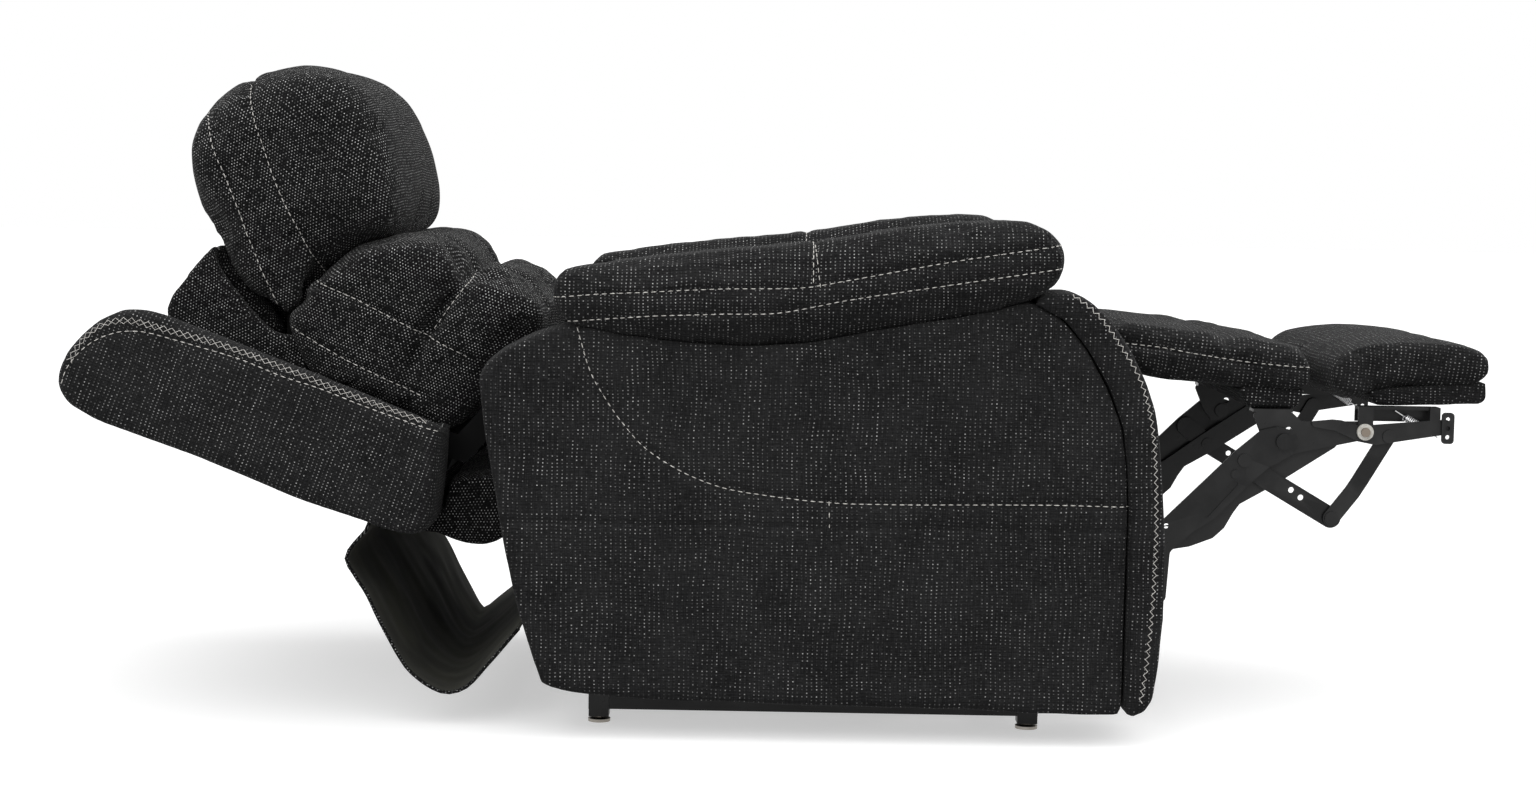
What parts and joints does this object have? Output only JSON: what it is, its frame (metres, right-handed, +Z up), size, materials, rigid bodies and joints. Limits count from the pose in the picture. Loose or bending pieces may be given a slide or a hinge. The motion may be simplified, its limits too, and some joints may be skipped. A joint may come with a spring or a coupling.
{
  "type": "lift recliner chair",
  "caption": "Powered lift recliner armchair shown laid back, with headrest tilted forward, footrest out on scissor links, and a lifting floor base.",
  "frame": {"origin": "on the floor, at the centre of the footprint of the laid-back chair", "axes": "+X towards the feet, +Y towards the sitter's left, +Z up"},
  "size_m": [1.895, 0.86, 0.868],
  "materials": {
    "upholstery": "matt woven",
    "lining_cloth": "matt",
    "webbing": "matt",
    "black_steel": "satin powder coat",
    "bright_steel": "zinc plated",
    "drive_housing": "matt",
    "glide_metal": "satin",
    "white_nylon": "smooth",
    "plywood": "bare"
  },
  "bodies": {
    "floor_base": {"base_frame": "black_steel", "levelling_glides": "glide_metal", "base_pivot_bolts": "bright_steel", "control_box": "drive_housing"},
    "front_lift_links": {"right_front_lift_link": "black_steel", "left_front_lift_link": "black_steel", "lift_cross_tube": "black_steel"},
    "rear_lift_links": {"right_rear_lift_link": "black_steel", "left_rear_lift_link": "black_steel"},
    "lift_motor": {"lift_motor": "drive_housing"},
    "lift_rod": {"lift_rod": "bright_steel"},
    "chair_body": {"upper_frame": "black_steel", "upper_frame_bolts": "bright_steel", "legrest_motor": "drive_housing", "seat_deck": "plywood", "seat_webbing": "webbing", "seat_cushion": "upholstery", "right_side_panel": "upholstery", "left_side_panel": "upholstery", "right_arm_front": "upholstery", "left_arm_front": "upholstery", "right_arm_pad": "upholstery", "left_arm_pad": "upholstery", "rear_flap": "lining_cloth"},
    "recline_motor": {"recline_motor": "drive_housing"},
    "recline_rod": {"recline_rod": "bright_steel"},
    "back": {"back_frame": "plywood", "back_pivot_tube": "black_steel", "back_shell": "upholstery", "right_wing": "upholstery", "left_wing": "upholstery", "lower_back_cover": "upholstery", "middle_back_cushion": "upholstery", "lumbar_cushion": "upholstery"},
    "headrest": {"headrest_board": "plywood", "head_pillow": "upholstery", "headrest_gusset": "upholstery"},
    "drive_links": {"right_drive_link": "black_steel", "left_drive_link": "black_steel", "footrest_drive_tube": "black_steel"},
    "main_links": {"right_main_link": "black_steel", "left_main_link": "black_steel", "footrest_tie_tube": "black_steel"},
    "footrest": {"right_footrest_bracket": "black_steel", "left_footrest_bracket": "black_steel", "footrest_board": "plywood", "footrest_pad": "upholstery"},
    "rear_links": {"right_rear_link": "black_steel", "left_rear_link": "black_steel"},
    "swing_links": {"right_swing_link": "black_steel", "left_swing_link": "black_steel"},
    "push_links": {"right_push_link": "black_steel", "left_push_link": "black_steel"},
    "extension": {"right_extension_rail": "black_steel", "left_extension_rail": "black_steel", "extension_board": "plywood", "extension_pad": "upholstery", "extension_springs": "bright_steel", "extension_bushes": "white_nylon"}
  },
  "joints": [
    {"name": "lift", "type": "hinge", "parent": "floor_base", "child": "front_lift_links", "pos_m": [0.18, 0, 0.105], "axis": [0, 1, 0], "range_deg": [0, 57]},
    {"name": "lift_tip", "type": "hinge", "parent": "front_lift_links", "child": "chair_body", "pos_m": [-0.218, 0, 0.14], "axis": [0, 1, 0], "range_deg": [-31.08, 0]},
    {"name": "rear_lift_swing", "type": "hinge", "parent": "floor_base", "child": "rear_lift_links", "pos_m": [0.224, 0, 0.076], "axis": [0, 1, 0], "range_deg": [0, 64.15]},
    {"name": "lift_motor_swing", "type": "hinge", "parent": "floor_base", "child": "lift_motor", "pos_m": [-0.228, 0, 0.07], "axis": [0, 1, 0], "range_deg": [-1.35, 0]},
    {"name": "lift_stroke", "type": "slide", "parent": "lift_motor", "child": "lift_rod", "axis": [0.9648, 0, 0.2629], "range_m": [0, 0.08568]},
    {"name": "back_recline", "type": "hinge", "parent": "chair_body", "child": "back", "pos_m": [-0.322, 0, 0.478], "axis": [0, 1, 0], "range_deg": [0, 55], "deforming": ["rear_flap"]},
    {"name": "recline_motor_swing", "type": "hinge", "parent": "chair_body", "child": "recline_motor", "pos_m": [0.065, 0, 0.352], "axis": [0, 1, 0], "range_deg": [-0.327, 0]},
    {"name": "recline_stroke", "type": "slide", "parent": "recline_motor", "child": "recline_rod", "axis": [-0.9998, 0, 0.0193], "range_m": [0, 0.125]},
    {"name": "headrest_tilt", "type": "hinge", "parent": "back", "child": "headrest", "pos_m": [-0.66, 0, 0.528], "axis": [0, 1, 0], "range_deg": [-46, 0], "deforming": ["headrest_gusset"]},
    {"name": "legrest", "type": "hinge", "parent": "chair_body", "child": "drive_links", "pos_m": [0.373, 0, 0.3775], "axis": [0, 1, 0], "range_deg": [0, 121.05]},
    {"name": "main_link_turn", "type": "hinge", "parent": "drive_links", "child": "main_links", "pos_m": [0.502, 0, 0.174], "axis": [0, 1, 0], "range_deg": [-64.91, 0]},
    {"name": "footrest_turn", "type": "hinge", "parent": "main_links", "child": "footrest", "pos_m": [0.677, 0, 0.388], "axis": [0, 1, 0], "range_deg": [0, 37.88]},
    {"name": "rear_link_turn", "type": "hinge", "parent": "footrest", "child": "rear_links", "pos_m": [0.7395, 0, 0.3935], "axis": [0, 1, 0], "range_deg": [-21.78, 0]},
    {"name": "swing_link_turn", "type": "hinge", "parent": "main_links", "child": "swing_links", "pos_m": [0.6245, 0, 0.362], "axis": [0, 1, 0], "range_deg": [0, 37.65]},
    {"name": "push_link_turn", "type": "hinge", "parent": "swing_links", "child": "push_links", "pos_m": [0.744, 0, 0.2855], "axis": [0, 1, 0], "range_deg": [-14.64, 0]},
    {"name": "extension_turn", "type": "hinge", "parent": "footrest", "child": "extension", "pos_m": [0.785, 0, 0.403], "axis": [0, 1, 0], "range_deg": [0, 20.32]}
  ],
  "couplings": [
    {"joint": "lift_tip", "follows": "lift", "ratio": -0.54386},
    {"joint": "rear_lift_swing", "follows": "lift", "ratio": 1.1228},
    {"joint": "lift_motor_swing", "follows": "lift", "ratio": -0.023289},
    {"joint": "lift_stroke", "follows": "lift", "m_per_rad": 0.085852},
    {"joint": "recline_motor_swing", "follows": "back_recline", "ratio": -0.0055658},
    {"joint": "recline_stroke", "follows": "back_recline", "m_per_rad": 0.12986},
    {"joint": "main_link_turn", "follows": "legrest", "ratio": -0.53499},
    {"joint": "footrest_turn", "follows": "legrest", "ratio": 0.3121},
    {"joint": "rear_link_turn", "follows": "legrest", "ratio": -0.1794},
    {"joint": "swing_link_turn", "follows": "legrest", "ratio": 0.31024},
    {"joint": "push_link_turn", "follows": "legrest", "ratio": -0.12051},
    {"joint": "extension_turn", "follows": "legrest", "ratio": 0.16739}
  ]
}
